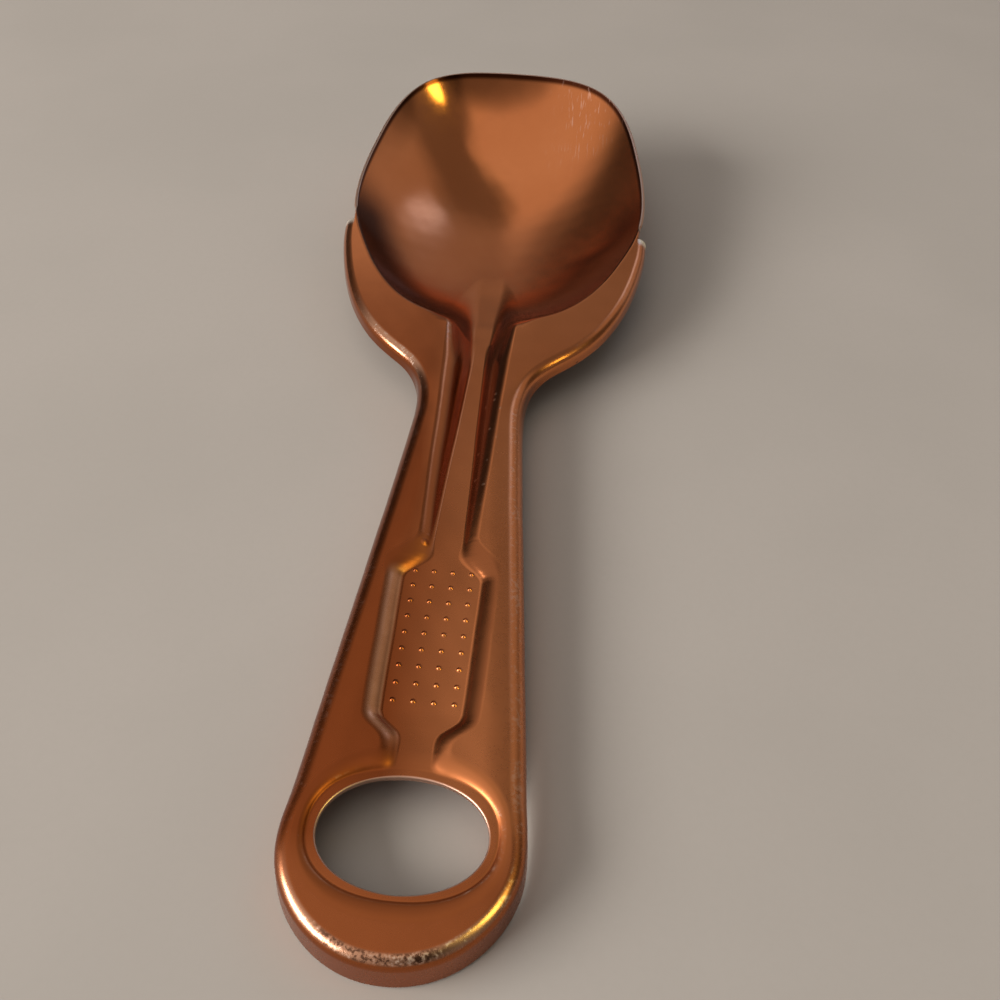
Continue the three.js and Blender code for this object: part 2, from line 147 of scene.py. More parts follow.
def out_at_y(y):                 # arc length on the side of the handle at this y
    a, b = _s[6], _s[-1]
    for _ in range(50):
        m = (a + b) / 2
        if out_y(m) < y:
            a = m
        else:
            b = m
    return (a + b) / 2


def oval_at(o, deg):
    c, s = np.cos(np.radians(deg)), np.sin(np.radians(deg))
    return np.stack([o[1] * np.sign(c) * np.abs(c) ** (2 / o[3]), o[0] + o[2] * np.sign(s) * np.abs(s) ** (2 / o[3])], -1)


def collar_top(x):
    return COLLAR[0] + COLLAR[2] * (1 - np.abs(x / COLLAR[1]) ** COLLAR[3]) ** (1 / COLLAR[3])


def back_theta(x):               # angle of the bowl's back edge at this x >= 0
    x = np.asarray(x, float)
    lo, hi = np.full(x.shape, -math.pi / 2), np.full(x.shape, -.9)
    for _ in range(60):
        m = (lo + hi) / 2
        less = edge_r(m) * np.cos(m) < x
        lo, hi = np.where(less, m, lo), np.where(less, hi, m)
    return np.where(x == 0, -math.pi / 2, (lo + hi) / 2)


# ---------------------------------------------------------------- upper face


def step(t):
    t = np.clip(t, 0, 1)
    return t * t * (3 - 2 * t)


def rise(y):
    return CURL * np.maximum(0, y - CURL_Y) ** 2


def walled(t):                    # wall section: wide gentle shoulder, then a steep drop to a tight foot
    u, e, c = -smooth_max(-np.maximum(t, 0), -1., .16), .30, .38
    line = np.where(u < e, u * u / (2 * e), u - e / 2) / (1 - e / 2)
    return c * line + (1 - c) * u ** 3.2


def oval(o, x, y):
    return (np.abs(x / o[1]) ** o[3] + np.abs((y - o[0]) / o[2]) ** o[3]) ** (1 / o[3])


def smooth_max(a, b, k):
    h = np.maximum(k - np.abs(a - b), 0) / k
    return np.maximum(a, b) + h * h * k / 4


def recess(x, y):
    a, b = upper(y), floor_of(y)
    t1 = np.where(y > 18, (a - np.abs(x)) / (a - b), -9.)
    qo, qi = oval(COLLAR, x, y), oval(LEDGE, x, y)
    t2 = np.where(y < 30, (1 - qo) / np.maximum(qi - qo, 1e-3), -9.)
    t, mouth = smooth_max(t1, t2, .7), step((y - 104) / 13)
    return depth(y) * ((1 - mouth) * walled(t) + mouth * step(t))      # softer where the groove runs out into the bowl


def dish(x, y):                  # gently curved floor of the bowl
    d = y - DISH_Y
    u = (d + np.sqrt(d * d + DISH_SOFT ** 2)) / 2
    return DISH_Z + d * d / (2 * DISH_BACK) + (1 / DISH_FRONT - 1 / DISH_BACK) / 2 * u * u + x * x / (2 * DISH_RX)


def bowl_z(x, y):                # floor, with a wall that turns up towards the edge
    th = np.arctan2(y - BOWL_C, np.abs(x))
    R = edge_r(th)
    q = np.hypot(x, y - BOWL_C) / R
    xe, ye = R * np.cos(th), BOWL_C + R * np.sin(th)
    return dish(x, y) + (rise(ye) - dish(xe, ye)) * np.minimum(q, 1.1) ** WALL_P


def pips(x, y):                  # plain even grid of small raised dots on the sunk panel
    px, py, y0, rows = 2.7, 2.75, 34.2, 9
    i = np.clip(np.round((x + 1.5 * px) / px), 0, 3)
    j = np.clip(np.round((y - y0) / py), 0, rows - 1)
    d2 = ((x - (i - 1.5) * px) ** 2 + (y - y0 - j * py) ** 2) / .42 ** 2
    return .24 * np.maximum(0, 1 - d2) ** 2


def uneven(x, y):                # faint waviness that a pressed sheet has
    w = (np.sin(.55 * x + .23 * y + 1.1) + np.sin(-.31 * x + .47 * y + .4) + .8 * np.sin(.9 * x - .35 * y + 2.)
         + .5 * np.sin(1.3 * x + .8 * y) + .5 * np.sin(.2 * x - 1.25 * y + .7))
    return .006 * w


half_width = pchip([(y, x) for x, y in OUTLINE[5:20]])


def roll_share(y):
    return step((y - 13) / 9) * step((100 - y) / 10)


def bend_r(y):
    return BEND_R + BEND_SIDE * roll_share(y)


def roll_off(x, y):
    w = np.maximum(0, np.abs(x) - (half_width(y) - bend_r(y) - ROLL_W))
    return ROLL_S / (2 * ROLL_W) * np.minimum(w, ROLL_W + 2) ** 2 * roll_share(y)


def face(x, y):
    x, y = np.asarray(x, float), np.asarray(y, float)
    flat = rise(y) - recess(x, y) - roll_off(x, y)
    b = bowl_z(x, y)
    k = CREASE_K * np.clip((146 - y) / 6, 0, 1) + 2.4 * np.exp(-(x / 8.5) ** 6) * np.clip((140 - y) / 18, 0, 1) + .01
    h = np.maximum(k - np.abs(flat - b), 0) / k
    joined = np.minimum(flat, b) - h * h * k / 4
    line = .05 * np.exp(-((oval(LEDGE, x, y) - 1) / .014) ** 2) * step((25 - y) / 4)      # fine press line round the collar
    return np.where(y < 100, flat, np.where(y > 146, b, joined)) + uneven(x, y) - line


def bead(x, y):                  # small bump at the end of the groove's left shoulder
    return .2 * np.maximum(0, 1 - ((x + 3.3) ** 2 + (y - 61.1) ** 2) / .7 ** 2) ** 2


def top_z(x, y):
    return face(x, y) + pips(x, y) + bead(x, y)


def across(x, y):
    e = 2.0
    v = np.stack([-(face(x + e, y) - face(x - e, y)) / (2 * e), -(face(x, y + e) - face(x, y - e)) / (2 * e), np.ones(np.shape(x))], -1)
    return v / np.linalg.norm(v, axis=-1, keepdims=True)


def top_point(x, y):
    return np.stack([x, y, top_z(x, y)], -1)


TAN = math.tan(TILT)


def under_point(x, y):
    p = top_point(x, y) - SHEET * across(x, y)
    p[..., 2] = np.maximum(p[..., 2], -SKIRT_DEPTH - TAN * p[..., 1])
    return p


def unit(v):
    return v / np.maximum(np.linalg.norm(v, axis=-1, keepdims=True), 1e-12)


def top_normal(x, y, e=.02):
    return unit(np.stack([-(top_z(x + e, y) - top_z(x - e, y)) / (2 * e), -(top_z(x, y + e) - top_z(x, y - e)) / (2 * e), np.ones(np.shape(x))], -1))


def under_normal(x, y, e=.05):
    return -unit(np.cross(under_point(x + e, y) - under_point(x - e, y), under_point(x, y + e) - under_point(x, y - e)))


def bend_mask(x, y, e=.35):      # + on outward bends of the face, - in inward ones
    z = face(x, y)
    lap = (face(x + e, y) + face(x - e, y) + face(x, y + e) + face(x, y - e) - 4 * z) / e ** 2
    return np.clip(-lap * .8, -1, 1)


# ---------------------------------------------------------------- mesh tools
def to_part(p):                  # handle frame in mm -> part frame in m
    c, s = math.cos(TILT), math.sin(TILT)
    x, y, z = p[..., 0], p[..., 1], p[..., 2]
    return (np.stack([x, c * y - s * z, s * y + c * z], -1) + SHIFT) / 1000


def turn(n):
    c, s = math.cos(TILT), math.sin(TILT)
    return np.stack([n[..., 0], c * n[..., 1] - s * n[..., 2], s * n[..., 1] + c * n[..., 2]], -1)


def painted_shade_band(p):                     # painted shade: 1 on the bowl's back wall, along the inside of its rim and on the right wall of panel and groove, where the colour is darkened to stand for dark reflections
    x, y = np.abs(p[:, 0]), p[:, 1] - BOWL_C
    th = np.arctan2(y, x)
    q = np.hypot(x, y) / edge_r(th)
    start = .66 - .18 * step((-.05 - th) / .4) * (p[:, 0] > 0)       # reaches further in on the right
    wall = step((q - start) / .25) * step((.42 - th) / .6) * step((x - 1.2) / 2.6)
    lip = step((q - .974) / .012) * (th > -.16)
    a, b = upper(p[:, 1]), floor_of(p[:, 1])
    t = (a - p[:, 0]) / (a - b)
    groove = step((t - .02) / .18) * step((1.06 - t) / .1) * np.where(p[:, 1] > 62, .3 + .4 * step((p[:, 1] - 62) / 12), .5 * step((p[:, 1] - 27) / 4))
    return np.where(q < 1.002, np.maximum(wall, lip), np.where(p[:, 1] < 117, groove, 0.))


def painted_light_wall(p):                   # 1 on the panel's left wall, which gets a painted highlight: its colour is lightened
    a, b = upper(p[:, 1]), floor_of(p[:, 1])
    t = (a + p[:, 0]) / (a - b)
    return step((t - .05) / .45) * step((1.04 - t) / .08) * step((p[:, 1] - 26) / 5) * step((57 - p[:, 1]) / 3)


def dull(p):                     # 1 on the collar's wall and at the panel's upper left corner
    x, y = p[:, 0], p[:, 1]
    a, b = upper(y), floor_of(y)
    t = (a + x) / (a - b)
    corner = step((t + .1) / .2) * step((1.1 - t) / .1) * step((y - 54) / 2) * step((63 - y) / 2)
    ring = step((1.06 - oval(COLLAR, x, y)) / .05) * step((oval(LEDGE, x, y) - .96) / .03) * step((28 - y) / 3)
    return np.maximum(corner, ring)


class Sheet:
    """Collects grids of points with their normals, then welds them into one closed mesh."""

    def __init__(self):
        self.P, self.N, self.Q, self.A, self.count = [], [], [], [], 0

    def grid(self, P, N, bare_and_glint=0., bend=0.):
        nu, nv = P.shape[:2]
        ids = np.arange(nu * nv).reshape(nu, nv) + self.count
        q = np.stack([ids[:-1, :-1], ids[1:, :-1], ids[1:, 1:], ids[:-1, 1:]], -1).reshape(-1, 4)
        flatP, flatN = P.reshape(-1, 3), N.reshape(-1, 3)
        l = q - self.count
        g = np.cross(flatP[l[:, 2]] - flatP[l[:, 0]], flatP[l[:, 3]] - flatP[l[:, 1]])
        if (g * flatN[l].mean(1)).sum() < 0:
            q = q[:, ::-1]
        self.P.append(flatP), self.N.append(flatN), self.Q.append(q)
        self.A.append(np.stack([np.broadcast_to(bare_and_glint, (nu, nv)), np.broadcast_to(bend, (nu, nv))], -1).reshape(-1, 2))
        self.count += nu * nv

    def make(self, name):
        P, N, Q, A = (np.concatenate(v) for v in (self.P, self.N, self.Q, self.A))
        key = np.round(P * 2e4).astype(np.int64)
        _, first, inv = np.unique(key, axis=0, return_index=True, return_inverse=True)
        inv = inv.reshape(-1)
        pts, att = P[first], np.zeros((len(first), 2))
        best = np.zeros(len(first))
        np.maximum.at(best, inv, A[:, 0])
        att[:, 0] = best
        order = np.argsort(np.abs(A[:, 1]), kind="stable")
        att[inv[order], 1] = A[order, 1]
        faces, normals = [], []
        W, NQ = inv[Q], N[Q]
        whole = np.array([len(set(f)) == 4 for f in W.tolist()])
        for f, n in zip(W[whole].tolist(), NQ[whole]):
            faces.append(f), normals.append(n)
        for f, n in zip(W[~whole].tolist(), NQ[~whole]):
            keep = [i for i in range(4) if f[i] != f[i - 1]]
            if len(keep) == 3 and len({f[i] for i in keep}) == 3:
                faces.append([f[i] for i in keep]), normals.append(n[keep])
        me = bpy.data.meshes.new(name)
        me.from_pydata(to_part(pts).tolist(), [], faces)
        me.polygons.foreach_set("use_smooth", np.ones(len(me.polygons), bool))
        att = np.concatenate([att, np.stack([painted_shade_band(pts), painted_light_wall(pts), dull(pts)], 1)], 1)
        for a, attr in enumerate(("bare_and_glint", "bend", "painted_shade_band", "painted_light_wall", "dull")):
            me.attributes.new(attr, "FLOAT", "POINT").data.foreach_set("value", att[:, a].astype(np.float32))
        me.update()
        me.normals_split_custom_set(turn(np.concatenate(normals)).tolist())
        ob = bpy.data.objects.new(name, me)
        bpy.context.scene.collection.objects.link(ob)
        return ob


ARC = np.radians([0, 18, 36, 54, 72, 90])


def strip(P, A, O, N, U, rho):
    """Section from the upper border P to the under border, rounded by rho: points and normals."""
    r = rho[:, None]
    pts, nrm = [], []
    for a in ARC:
        pts.append(P - A * r + r * (A * math.cos(a) + O * math.sin(a)))
        nrm.append(unit(N * math.cos(a) + O * math.sin(a)) if a else np.where(r > 1e-6, N, O))
    for a in ARC:
        pts.append(P - A * (SHEET - r) + r * (O * math.cos(a) - A * math.sin(a)))
        nrm.append(unit(O * math.cos(a) + U * math.sin(a)) if a < 1.57 else np.where(r > 1e-6, U, O))
    n = np.stack(nrm, 1)
    n = np.where(rho[:, None, None] > 1e-6, n, O[:, None, :])
    bare_and_glint = np.where(rho[:, None] > 1e-6, np.array([.0, .6] + [1] * 8 + [.6, 0.])[None, :], 0.)
    return np.stack(pts, 1), n, bare_and_glint


def border(sheet, x, y, xin, yin, rho, closed=False):
    """Edge strip along a border with plan points (x, y); (xin, yin) is the row just inside."""
    P, A = top_point(x, y), across(x, y)
    U = under_point(x, y)
    if closed:
        T = np.roll(P, -1, 0) - np.roll(P, 1, 0)
    else:
        T = np.gradient(P, axis=0)
    O = unit(np.cross(T, A))
    O = O * np.sign((O * (P - top_point(xin, yin))).sum(-1, keepdims=True))
    pts, n, bare_and_glint = strip(P, A, O, top_normal(x, y), under_normal(x, y), rho)
    pts[:, -1] = U
    if closed:
        pts, n, bare_and_glint = (np.concatenate([v, v[:1]]) for v in (pts, n, bare_and_glint))
    sheet.grid(pts, n, bare_and_glint)


def both_faces(sheet, X, Y):
    m = bend_mask(X, Y)
    sheet.grid(top_point(X, Y), top_normal(X, Y), 0., m)
    sheet.grid(under_point(X, Y), under_normal(X, Y), 0., -.6 * m)


# ---------------------------------------------------------------- shared border points
NF, NW = 44, 20                                   # columns of the sunk strip: floor and wall, per half


def columns(y):
    a, b = upper(y), floor_of(y)
    return np.concatenate([b * np.arange(NF) / NF, b + (a - b) * np.arange(NW + 1) / NW])


def steps(a, b, d):
    return np.linspace(a, b, max(2, int(round((b - a) / d)) + 1))[:-1]


K_X = float(upper(25.0))
K_Y = float(collar_top(K_X))
M_Y = 115.0
for _ in range(40):
    _t = float(back_theta(float(upper(M_Y))))
    M_Y = float(BOWL_C + edge_r(_t) * math.sin(_t))
K_DEG = math.degrees(math.acos((K_X / COLLAR[1]) ** (COLLAR[3] / 2)))
ROWS = np.concatenate([steps(26.45, 33.0, .15), steps(33.0, 57.0, .13), steps(57.0, SPLIT_Y, .14), [SPLIT_Y],
                       steps(SPLIT_Y + .16, 64, .16), steps(64, 111.5, .7), steps(111.5, 114.2, .3), [114.2]])
SPLIT = int(np.argmin(np.abs(ROWS - SPLIT_Y)))
TH_M, TH_H = float(back_theta(float(upper(M_Y)))), math.radians(-9.5)

collar_deg = np.linspace(-90, K_DEG, 74)
collar_pts = oval_at(COLLAR, collar_deg)
collar_pts[0, 0] = 0.0
collar_pts[-1] = K_X, K_Y
strip_pts = np.stack([upper(ROWS), ROWS], -1)
crease_th = np.linspace(TH_M, TH_H, 78)
crease_pts = np.stack([edge_r(crease_th) * np.cos(crease_th), BOWL_C + edge_r(crease_th) * np.sin(crease_th)], -1)
crease_pts[0] = float(upper(M_Y)), M_Y
inner = np.concatenate([collar_pts, strip_pts, crease_pts])
arc = np.concatenate([[0], np.cumsum(np.hypot(*np.diff(inner, axis=0).T))])
HORN = OUT_LEN - 1.2


n_c, n_s = len(collar_pts), len(strip_pts)
i_side = int(np.argmin(np.abs(collar_deg)))
i_80 = n_c + int(np.argmin(np.abs(ROWS - 80)))
i_100 = n_c + int(np.argmin(np.abs(ROWS - 100)))
s_of = pchip([(arc[0], 0.), (arc[i_side], out_at_y(17)), (arc[n_c - 1], out_at_y(25.5)),
              (arc[n_c + int(np.argmin(np.abs(ROWS - 45)))], out_at_y(45)), (arc[i_80], out_at_y(80)),
              (arc[i_100], out_at_y(94.5)), (arc[n_c + n_s], out_at_y(103.2)), (arc[-1], HORN)])
S = s_of(arc)
S[0] = 0.0
_nx, _ny = out_normal(S)
_nx[0], _ny[0] = 0.0, -1.0
_in = bend_r(out_y(S)) * (1 - math.sin(math.atan(ROLL_S)) * roll_share(out_y(S)))
outer = np.stack([out_x(S) - _in * _nx, out_y(S) - _in * _ny], -1)
outer[0, 0] = 0.0
mirror = np.array([-1.0, 1.0])


def full(half):                  # left horn -> handle end -> right horn
    return np.concatenate([half[:0:-1] * mirror, half])


INNER, OUTER = full(inner), full(outer)

# ---------------------------------------------------------------- handle plate
PLATE_T = np.array([0, .012, .028, .05, .08, .12, .18, .27, .4, .55, .7, .84, .93, .975, 1.0])
plate = Sheet()
PX = INNER[:, None, 0] + (OUTER - INNER)[:, None, 0] * PLATE_T
PY = INNER[:, None, 1] + (OUTER - INNER)[:, None, 1] * PLATE_T
both_faces(plate, PX, PY)
border(plate, PX[:, 0], PY[:, 0], PX[:, 1], PY[:, 1], np.zeros(len(PX)))
border(plate, PX[:, -1], PY[:, -1], PX[:, -2], PY[:, -2], np.zeros(len(PX)))
for e, i in ((0, 1), (-1, -2)):
    border(plate, PX[e], PY[e], PX[i], PY[i], np.zeros(len(PLATE_T)))
handle_plate = plate.make("handle_plate_finish")

# ---------------------------------------------------------------- edge skirt
BEND_N, BEND_END = 13, math.radians(86.6)
S_DEEP, S_SHALLOW = out_at_y(88), out_at_y(104)
skirt = Sheet()


def skirt_rows():
    s, sg = np.concatenate([S[:0:-1], S]), np.concatenate([-np.ones(len(S) - 1), np.ones(len(S))])
    nx, ny = out_normal(s)
    nx, ny = np.where(s == 0, 0., nx), np.where(s == 0, -1., ny)
    nx = nx * sg
    c, R = OUTER, bend_r(out_y(s))
    zc, n0 = top_z(c[:, 0], c[:, 1]), top_normal(c[:, 0], c[:, 1])
    a0 = np.clip(np.arctan2(n0[:, 0] * nx + n0[:, 1] * ny, n0[:, 2]), 0, .3)
    s0, c0 = R * np.sin(a0), R * np.cos(a0)
    slant = np.clip((s - HORN + 7) / 7, 0, 1)          # the skirt runs out a little before the horn tip
    end = rise(c[:, 1]) - SKIRT_DEPTH + (SKIRT_DEPTH - SKIRT_SHALLOW) * step((s - S_DEEP) / (S_SHALLOW - S_DEEP)) + .5 * slant ** 2

    def at(d, z):
        return np.stack([c[:, 0] + nx * d, c[:, 1] + ny * d, z], -1)

    def nrm(o, u):
        return np.stack([nx * o, ny * o, np.zeros(len(s)) + u], -1)
    P, N, W = [], [], []
    for k in range(BEND_N):
        a = a0 + (BEND_END - a0) * k / (BEND_N - 1)
        P.append(at(R * np.sin(a) - s0, zc + R * np.cos(a) - c0))
        N.append(nrm(np.sin(a), np.cos(a)))
        W.append(math.sin(min(1.0, BEND_END * k / (BEND_N - 1) / 1.1) * math.pi) * .9 + .1)
    P[0], N[0] = top_point(c[:, 0], c[:, 1]), n0
    a = BEND_END
    zt, dt = zc + R * math.cos(a) - c0, R * math.sin(a) - s0
    r = .25
    zi, di = zc + (R - SHEET) * math.cos(a) - c0, (R - SHEET) * math.sin(a) - s0
    zb = end + r
    for t in np.linspace(0, 1, 6)[1:]:
        z = zt + (zb - zt) * t
        P.append(at(dt + (zt - z) * SKIRT_DRAFT, z)), N.append(nrm(math.cos(.06), math.sin(.06)))
        W.append(.1 * (1 - t))
    db = dt + (zt - zb) * SKIRT_DRAFT
    outerP, outerN, outerW = np.stack(P, 1), np.stack(N, 1), np.array(W)
    E, EN = [], []
    for a in ARC:
        E.append(at(db - r + r * math.cos(a), zb - r * math.sin(a))), EN.append(nrm(math.cos(a), -math.sin(a)))
    dbi = di + (zi - zb) * SKIRT_DRAFT
    for a in ARC[::-1]:
        E.append(at(dbi + r - r * math.cos(a), zb - r * math.sin(a))), EN.append(nrm(-math.cos(a), -math.sin(a)))
    E[0] = P[-1]
    I, IN = [E[-1]], [nrm(-1, 0)]
    for t in np.linspace(0, 1, 5)[1:]:
        z = zb + (zi - zb) * t
        I.append(at(di + (zi - z) * SKIRT_DRAFT, z)), IN.append(nrm(-1, 0))
    for k in range(BEND_N - 2, -1, -1):
        a = a0 + (BEND_END - a0) * k / (BEND_N - 1)
        I.append(at((R - SHEET) * np.sin(a) - s0, zc + (R - SHEET) * np.cos(a) - c0)), IN.append(nrm(-np.sin(a), -np.cos(a)))
    I[-1], IN[-1] = under_point(c[:, 0], c[:, 1]), under_normal(c[:, 0], c[:, 1])
    glint = np.clip((s - HORN + 1.7) / 1.0, 0, 1)       # painted glint at the horn tips, carried together with the bare cut edges
    return outerP, outerN, outerW, np.stack(E, 1), np.stack(EN, 1), np.stack(I, 1), np.stack(IN, 1), glint


oP, oN, oW, eP, eN, iP, iN, tip = skirt_rows()
skirt.grid(oP, oN, tip[:, None], oW[None, :])
skirt.grid(eP, eN, np.array([0, .5, 1, 1, 1, 1, 1, 1, 1, 1, .5, 0])[None, :])
skirt.grid(iP, iN)
# closing walls: along the plate, and at the two horn tips
_T = np.gradient(oP[:, 0], axis=0)
_O = unit(np.cross(_T, across(oP[:, 0, 0], oP[:, 0, 1])))
_O *= np.sign((_O * (oP[:, 0] - oP[:, 1])).sum(-1, keepdims=True))
skirt.grid(np.stack([oP[:, 0], iP[:, -1]], 1), np.repeat(_O[:, None], 2, 1))
for e, i in ((0, 1), (-1, -2)):
    ring_o = np.concatenate([oP[e], eP[e, 1:6]])
    ring_i = np.concatenate([iP[e, :0:-1], eP[e, :5:-1]])
    n_o, n_i = len(ring_o), len(ring_i)
    idx = np.round(np.linspace(0, n_i - 1, n_o)).astype(int)
    way = unit((oP[e] - oP[i]).mean(0))
    # two rows with the same count: the shorter one repeats points, which weld away
    if n_i <= n_o:
        cap = np.stack([ring_o, ring_i[idx]], 1)
    else:
        jdx = np.round(np.linspace(0, n_o - 1, n_i)).astype(int)
        cap = np.stack([ring_o[jdx], ring_i], 1)
    skirt.grid(cap, np.broadcast_to(way, cap.shape), .35)
edge_skirt = skirt.make("edge_skirt_finish")

# ---------------------------------------------------------------- sunk panel and stem channel


def strip_grid(rows, first=None, last=None):
    X, Y = [], []
    if first is not None:
        X.append(first[0]), Y.append(first[1])
    for y in rows:
        c = columns(y)
        X.append(c), Y.append(np.full(len(c), y))
    if last is not None:
        X.append(last[0]), Y.append(last[1])
    X, Y = np.stack(X), np.stack(Y)
    return np.concatenate([-X[:, :0:-1], X], 1), np.concatenate([Y[:, :0:-1], Y], 1)


neck_x = columns(25.0)
neck_x[-1] = K_X
neck_y = collar_top(neck_x)
neck_y[-1] = K_Y
mouth_x = columns(M_Y)
mouth_th = back_theta(mouth_x)
mouth_y = BOWL_C + edge_r(mouth_th) * np.sin(mouth_th)
mouth_y[-1] = M_Y


def strip_piece(name, X, Y):
    sh = Sheet()
    both_faces(sh, X, Y)
    z = np.zeros
    border(sh, X[:, 0], Y[:, 0], X[:, 1], Y[:, 1], z(len(X)))
    border(sh, X[:, -1], Y[:, -1], X[:, -2], Y[:, -2], z(len(X)))
    border(sh, X[0], Y[0], X[1], Y[1], z(X.shape[1]))
    border(sh, X[-1], Y[-1], X[-2], Y[-2], z(X.shape[1]))
    return sh.make(name)


name_panel = strip_piece("sunk_panel_finish", *strip_grid(ROWS[:SPLIT + 1], first=(neck_x, neck_y)))
stem_channel = strip_piece("stem_channel_finish", *strip_grid(ROWS[SPLIT:], last=(mouth_x, mouth_y)))

# ---------------------------------------------------------------- hole collar
half_pts = np.concatenate([collar_pts, np.stack([neck_x, neck_y], -1)[-2::-1]])      # bottom -> right -> top
neck_deg = np.degrees(np.arccos((neck_x / COLLAR[1]) ** (COLLAR[3] / 2)))
half_deg = np.concatenate([collar_deg, neck_deg[-2::-1]])
ring_out = np.concatenate([half_pts, half_pts[-2:0:-1] * mirror])
ring_deg = np.concatenate([half_deg, 180 - half_deg[-2:0:-1]])
ledge_pts, hole_pts = oval_at(LEDGE, ring_deg), oval_at(HOLE, ring_deg)
away = unit(ledge_pts - hole_pts)
hole_in = hole_pts + away * EDGE_R
rad = [hole_in + (ledge_pts - hole_in) * t for t in np.linspace(0, 1, 8)[:-1]]
rad += [ledge_pts + (ring_out - ledge_pts) * t for t in np.linspace(0, 1, 19)]
CX, CY = np.stack([r[:, 0] for r in rad], 1), np.stack([r[:, 1] for r in rad], 1)
collar = Sheet()
close = lambda v: np.concatenate([v, v[:1]])
both_faces(collar, close(CX), close(CY))
border(collar, CX[:, 0], CY[:, 0], CX[:, 1], CY[:, 1], np.full(len(CX), EDGE_R), closed=True)
border(collar, CX[:, -1], CY[:, -1], CX[:, -2], CY[:, -2], np.zeros(len(CX)), closed=True)
hole_collar = collar.make("hole_collar_finish")

# ---------------------------------------------------------------- bowl
rim_th = np.linspace(TH_H, math.pi / 2, 110)[1:]
half_th = np.concatenate([mouth_th, crease_th[1:], rim_th])
edge = np.concatenate([np.stack([mouth_x, mouth_y], -1), crease_pts[1:], np.stack([edge_r(rim_th) * np.cos(rim_th), BOWL_C + edge_r(rim_th) * np.sin(rim_th)], -1)])
edge[-1, 0] = 0.0
half_rho = np.where(half_th > TH_H + 1e-9, EDGE_R * np.clip((half_th - TH_H) / math.radians(2.5), 0, 1), 0.0)
edge = np.concatenate([edge, edge[-2:0:-1] * mirror])
rho = np.concatenate([half_rho, half_rho[-2:0:-1]])
centre = np.array([0.0, BOWL_C])
way = unit(edge - centre)
edge_in = edge - way * rho[:, None]
RINGS = np.concatenate([np.linspace(0, .6, 20)[:-1], np.linspace(.6, .86, 16)[:-1], np.linspace(.86, .96, 12)[:-1], np.linspace(.96, 1, 10)])
BX = centre[0] + (edge_in[:, None, 0] - centre[0]) * RINGS
BY = centre[1] + (edge_in[:, None, 1] - centre[1]) * RINGS
bowl = Sheet()
both_faces(bowl, close(BX), close(BY))
border(bowl, BX[:, -1], BY[:, -1], BX[:, -2], BY[:, -2], rho, closed=True)
bowl_piece = bowl.make("bowl_finish")

# ---------------------------------------------------------------- materials


def tree(name):
    m = bpy.data.materials.new(name)
    m.use_nodes = True
    nt = m.node_tree
    nt.nodes.clear()
    return m, nt


class N:
    """Short names for building node trees."""

    def __init__(self, nt):
        self.nt = nt

    def node(self, kind, **props):
        n = self.nt.nodes.new(kind)
        for k, v in props.items():
            setattr(n, k, v)
        return n

    def put(self, socket, value):
        if isinstance(value, bpy.types.NodeSocket):
            self.nt.links.new(value, socket)
        else:
            socket.default_value = value

    def math(self, op, a, b=0.0, clamp=False):
        n = self.node("ShaderNodeMath", operation=op, use_clamp=clamp)
        self.put(n.inputs[0], a), self.put(n.inputs[1], b)
        return n.outputs[0]

    def ramp(self, v, lo, hi, a=0.0, b=1.0, smooth=True):
        n = self.node("ShaderNodeMapRange", interpolation_type="SMOOTHSTEP" if smooth else "LINEAR")
        self.put(n.inputs["Value"], v)
        for k, x in zip(("From Min", "From Max", "To Min", "To Max"), (lo, hi, a, b)):
            self.put(n.inputs[k], x)
        return n.outputs["Result"]

    def mix(self, f, a, b, blend="MIX"):
        n = self.node("ShaderNodeMix", data_type="RGBA", blend_type=blend)
        self.put(n.inputs[0], f), self.put(n.inputs[6], a), self.put(n.inputs[7], b)
        return n.outputs[2]

    def noise(self, vec, scale, detail=3.0, rough=.55, dist=0.0):
        n = self.node("ShaderNodeTexNoise")
        self.put(n.inputs["Vector"], vec)
        for k, x in (("Scale", scale), ("Detail", detail), ("Roughness", rough), ("Distortion", dist)):
            n.inputs[k].default_value = x
        return n.outputs["Fac"]

    def place(self, vec, rot=(0, 0, 0), scale=(1, 1, 1), loc=(0, 0, 0)):
        n = self.node("ShaderNodeMapping")
        self.put(n.inputs["Vector"], vec)
        n.inputs["Location"].default_value, n.inputs["Rotation"].default_value, n.inputs["Scale"].default_value = loc, rot, scale
        return n.outputs["Vector"]

    def attr(self, name):
        return self.node("ShaderNodeAttribute", attribute_name=name, attribute_type="GEOMETRY").outputs["Fac"]


